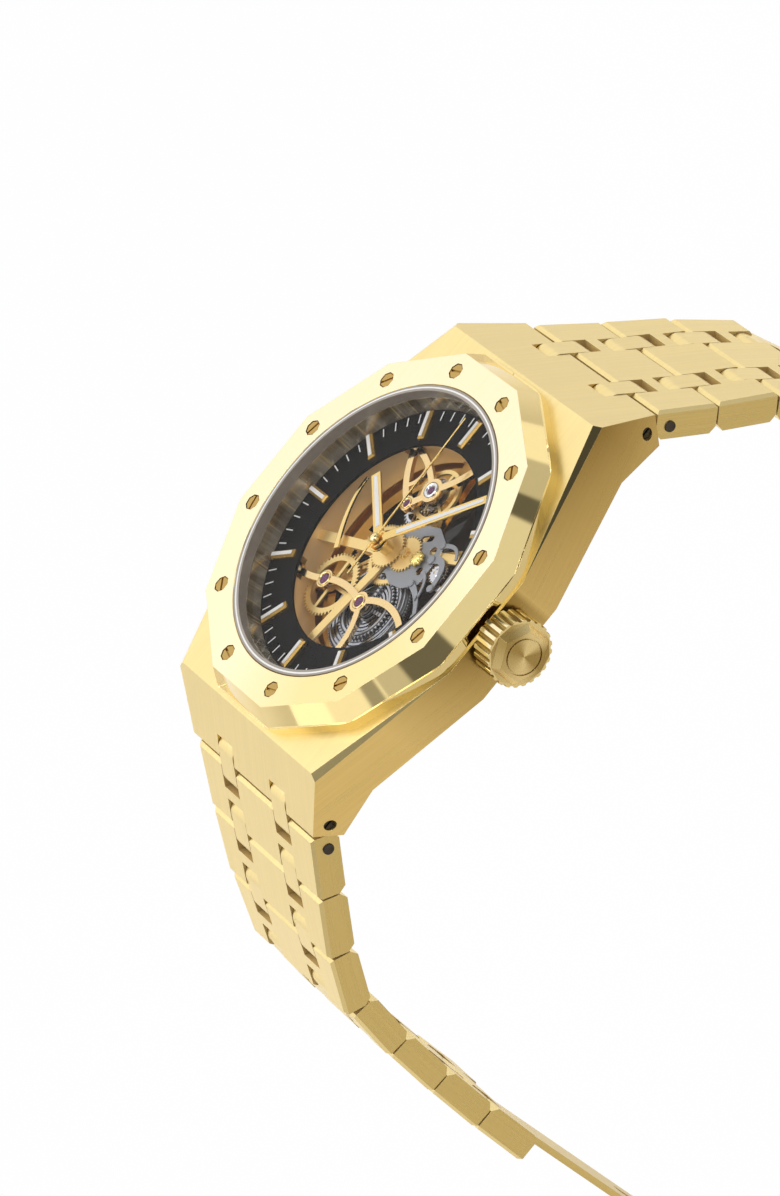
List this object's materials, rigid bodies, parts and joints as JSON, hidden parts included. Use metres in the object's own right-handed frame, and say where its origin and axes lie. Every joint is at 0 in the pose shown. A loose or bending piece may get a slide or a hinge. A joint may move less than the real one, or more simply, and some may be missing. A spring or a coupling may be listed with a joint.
{
  "type": "skeleton wristwatch",
  "caption": "Open-worked automatic wristwatch with a faceted screwed bezel, fluted crown and tapering link bracelet with a folding clasp.",
  "frame": {"origin": "centre of the case back's outer face", "axes": "+Z out of the dial, +Y towards 12 o'clock, +X towards the crown"},
  "size_m": [0.0473, 0.0835, 0.103],
  "materials": {
    "gold_brushed": "brushed pale yellow gold plating with polished bevels",
    "gold_polished": "polished pale yellow gold plating",
    "sapphire": "clear polished",
    "gasket_grey": "satin translucent grey",
    "rubber_black": "matt",
    "dial_black": "satin black",
    "gilt_brass": "rose-gilt, polished edges",
    "steel": "polished and grained steel",
    "ruby": "polished synthetic ruby"
  },
  "bodies": {
    "case": {"case_middle": "gold_brushed", "lug_screws": "gold_polished", "bezel": "gold_brushed", "bezel_screws": "gold_polished", "crystal": "sapphire", "crystal_gasket": "gasket_grey", "flange_ring": "gold_brushed", "case_back": "gold_brushed", "case_back_crystal": "sapphire", "case_back_screws": "steel", "dial_ring": "dial_black", "hour_indices": "gold_polished", "movement_ring": "gilt_brass", "main_plate": "gilt_brass", "barrel_bridge": "gilt_brass", "balance_cock": "gilt_brass", "train_bridge": "gilt_brass", "bridge_screws": "steel", "jewels": "ruby", "keyless_plate": "steel", "crown_tube": "gold_polished"},
    "crown_slide": {"crown_gasket": "rubber_black"},
    "crown_turn": {"crown": "gold_polished", "winding_stem": "steel"},
    "seconds": {"fourth_wheel": "gilt_brass", "second_hand": "gold_polished"},
    "minutes": {"centre_wheel": "gilt_brass", "minute_hand": "gold_polished"},
    "hours": {"hour_wheel": "gilt_brass", "hour_hand": "gold_polished"},
    "minute_work": {"minute_wheel": "gilt_brass"},
    "barrel": {"barrel": "steel", "mainspring": "steel"},
    "third_wheel": {"third_wheel": "gilt_brass"},
    "escape_wheel": {"escape_wheel": "steel"},
    "pallet_fork": {"pallet_fork": "steel"},
    "balance": {"balance_wheel": "gilt_brass", "hairspring": "steel"},
    "ratchet_wheel": {"ratchet_wheel": "steel"},
    "reduction_wheel": {"reduction_wheel": "gilt_brass"},
    "rotor": {"rotor": "gilt_brass"},
    "link_12_1": {"link_12_1": "gold_brushed"},
    "link_12_2": {"link_12_2": "gold_brushed"},
    "link_12_3": {"link_12_3": "gold_brushed"},
    "link_12_4": {"link_12_4": "gold_brushed"},
    "link_12_5": {"link_12_5": "gold_brushed"},
    "link_12_6": {"link_12_6": "gold_brushed"},
    "link_12_7": {"link_12_7": "gold_brushed"},
    "link_6_1": {"link_6_1": "gold_brushed"},
    "link_6_2": {"link_6_2": "gold_brushed"},
    "link_6_3": {"link_6_3": "gold_brushed"},
    "link_6_4": {"link_6_4": "gold_brushed"},
    "link_6_5": {"link_6_5": "gold_brushed"},
    "link_6_6": {"link_6_6": "gold_brushed"},
    "link_6_7": {"link_6_7": "gold_brushed"},
    "clasp_cover": {"clasp_cover": "gold_brushed"},
    "clasp_outer_blade": {"clasp_outer_blade": "gold_brushed"},
    "clasp_inner_blade": {"clasp_inner_blade": "gold_brushed"},
    "clasp_button_crown_side": {"clasp_button_crown_side": "gold_polished"},
    "clasp_button_far_side": {"clasp_button_far_side": "gold_polished"}
  },
  "joints": [
    {"name": "crown_pull", "type": "slide", "parent": "case", "child": "crown_slide", "axis": [1, 0, 0], "range_m": [0, 0.001]},
    {"name": "crown_turn", "type": "hinge", "parent": "crown_slide", "child": "crown_turn", "pos_m": [0.023, 0, 0.0047], "axis": [1, 0, 0], "continuous": true},
    {"name": "seconds_turn", "type": "hinge", "parent": "case", "child": "seconds", "pos_m": [0, 0, 0.004], "axis": [0, 0, 1], "continuous": true},
    {"name": "minutes_turn", "type": "hinge", "parent": "case", "child": "minutes", "pos_m": [0, 0, 0.0055], "axis": [0, 0, 1], "continuous": true},
    {"name": "hours_turn", "type": "hinge", "parent": "case", "child": "hours", "pos_m": [0, 0, 0.0066], "axis": [0, 0, 1], "continuous": true},
    {"name": "minute_work_turn", "type": "hinge", "parent": "case", "child": "minute_work", "pos_m": [0.0025, 0.0007, 0.00636], "axis": [0, 0, 1], "continuous": true},
    {"name": "barrel_turn", "type": "hinge", "parent": "case", "child": "barrel", "pos_m": [0.0016, -0.00585, 0.0047], "axis": [0, 0, 1], "continuous": true},
    {"name": "third_wheel_turn", "type": "hinge", "parent": "case", "child": "third_wheel", "pos_m": [-0.00377, -0.001, 0.00424], "axis": [0, 0, 1], "continuous": true},
    {"name": "escape_wheel_turn", "type": "hinge", "parent": "case", "child": "escape_wheel", "pos_m": [-0.0026, 0.0047, 0.00487], "axis": [0, 0, 1], "continuous": true},
    {"name": "ratchet_turn", "type": "hinge", "parent": "case", "child": "ratchet_wheel", "pos_m": [0.0016, -0.00585, 0.00529], "axis": [0, 0, 1], "continuous": true},
    {"name": "reduction_turn", "type": "hinge", "parent": "case", "child": "reduction_wheel", "pos_m": [-0.0054, -0.0062, 0.00529], "axis": [0, 0, 1], "continuous": true},
    {"name": "rotor_turn", "type": "hinge", "parent": "case", "child": "rotor", "pos_m": [0, 0, 0.00265], "axis": [0, 0, 1], "continuous": true},
    {"name": "balance_swing", "type": "hinge", "parent": "case", "child": "balance", "pos_m": [-0.0007, 0.0072, 0.00539], "axis": [0, 0, 1], "range_deg": [-270, 270]},
    {"name": "pallet_rock", "type": "hinge", "parent": "case", "child": "pallet_fork", "pos_m": [-0.00035, 0.00475, 0.00506], "axis": [0, 0, 1], "range_deg": [-5, 5]},
    {"name": "link_12_1_hinge", "type": "hinge", "parent": "case", "child": "link_12_1", "pos_m": [0, 0.02453, 0.00125], "axis": [1, 0, 0], "range_deg": [0, 7.1]},
    {"name": "link_12_2_hinge", "type": "hinge", "parent": "link_12_1", "child": "link_12_2", "pos_m": [0, 0.02914, -0.00454], "axis": [1, 0, 0], "range_deg": [0, 4]},
    {"name": "link_12_3_hinge", "type": "hinge", "parent": "link_12_2", "child": "link_12_3", "pos_m": [0, 0.03394, -0.01017], "axis": [1, 0, 0], "range_deg": [0, 10.5]},
    {"name": "link_12_4_hinge", "type": "hinge", "parent": "link_12_3", "child": "link_12_4", "pos_m": [0, 0.03829, -0.01615], "axis": [1, 0, 0], "range_deg": [0, 29]},
    {"name": "link_12_5_hinge", "type": "hinge", "parent": "link_12_4", "child": "link_12_5", "pos_m": [0, 0.03996, -0.02337], "axis": [1, 0, 0], "range_deg": [-24, 11]},
    {"name": "link_12_6_hinge", "type": "hinge", "parent": "link_12_5", "child": "link_12_6", "pos_m": [0, 0.04099, -0.03069], "axis": [1, 0, 0], "range_deg": [-24, 10]},
    {"name": "link_12_7_hinge", "type": "hinge", "parent": "link_12_6", "child": "link_12_7", "pos_m": [0, 0.0415, -0.03808], "axis": [1, 0, 0], "range_deg": [-22, 8]},
    {"name": "link_6_1_hinge", "type": "hinge", "parent": "case", "child": "link_6_1", "pos_m": [0, -0.02453, 0.00125], "axis": [-1, 0, 0], "range_deg": [0, 10.1]},
    {"name": "link_6_2_hinge", "type": "hinge", "parent": "link_6_1", "child": "link_6_2", "pos_m": [0, -0.02883, -0.00477], "axis": [-1, 0, 0], "range_deg": [0, 7.5]},
    {"name": "link_6_3_hinge", "type": "hinge", "parent": "link_6_2", "child": "link_6_3", "pos_m": [0, -0.03297, -0.01091], "axis": [-1, 0, 0], "range_deg": [0, 12]},
    {"name": "link_6_4_hinge", "type": "hinge", "parent": "link_6_3", "child": "link_6_4", "pos_m": [0, -0.03644, -0.01744], "axis": [-1, 0, 0], "range_deg": [0, 26]},
    {"name": "link_6_5_hinge", "type": "hinge", "parent": "link_6_4", "child": "link_6_5", "pos_m": [0, -0.03747, -0.02477], "axis": [-1, 0, 0], "range_deg": [-22, 10]},
    {"name": "link_6_6_hinge", "type": "hinge", "parent": "link_6_5", "child": "link_6_6", "pos_m": [0, -0.03799, -0.03215], "axis": [-1, 0, 0], "range_deg": [-25, 8]},
    {"name": "link_6_7_hinge", "type": "hinge", "parent": "link_6_6", "child": "link_6_7", "pos_m": [0, -0.03824, -0.03955], "axis": [-1, 0, 0], "range_deg": [-22, 8]},
    {"name": "clasp_cover_hinge", "type": "hinge", "parent": "link_12_7", "child": "clasp_cover", "pos_m": [0, 0.04176, -0.04547], "axis": [1, 0, 0], "range_deg": [-18.69, 8]},
    {"name": "clasp_outer_blade_hinge", "type": "hinge", "parent": "clasp_cover", "child": "clasp_outer_blade", "pos_m": [0, 0.04136, -0.09077], "axis": [1, 0, 0], "range_deg": [0, 90]},
    {"name": "clasp_inner_blade_hinge", "type": "hinge", "parent": "link_6_7", "child": "clasp_inner_blade", "pos_m": [0, -0.03824, -0.04695], "axis": [-1, 0, 0], "range_deg": [-20.31, 8]},
    {"name": "clasp_button_crown_side_press", "type": "slide", "parent": "clasp_cover", "child": "clasp_button_crown_side", "axis": [-1, 0, 0], "range_m": [0, 0.0008]},
    {"name": "clasp_button_far_side_press", "type": "slide", "parent": "clasp_cover", "child": "clasp_button_far_side", "axis": [1, 0, 0], "range_m": [0, 0.0008]}
  ],
  "couplings": [
    {"joint": "third_wheel_turn", "follows": "seconds_turn", "ratio": -0.13333},
    {"joint": "minutes_turn", "follows": "seconds_turn", "ratio": 0.016667},
    {"joint": "barrel_turn", "follows": "seconds_turn", "ratio": -0.0027778},
    {"joint": "escape_wheel_turn", "follows": "seconds_turn", "ratio": -10},
    {"joint": "minute_work_turn", "follows": "seconds_turn", "ratio": -0.0055556},
    {"joint": "hours_turn", "follows": "seconds_turn", "ratio": 0.0013889},
    {"joint": "ratchet_turn", "follows": "crown_turn", "ratio": 0.29167},
    {"joint": "reduction_turn", "follows": "crown_turn", "ratio": -0.29167}
  ]
}
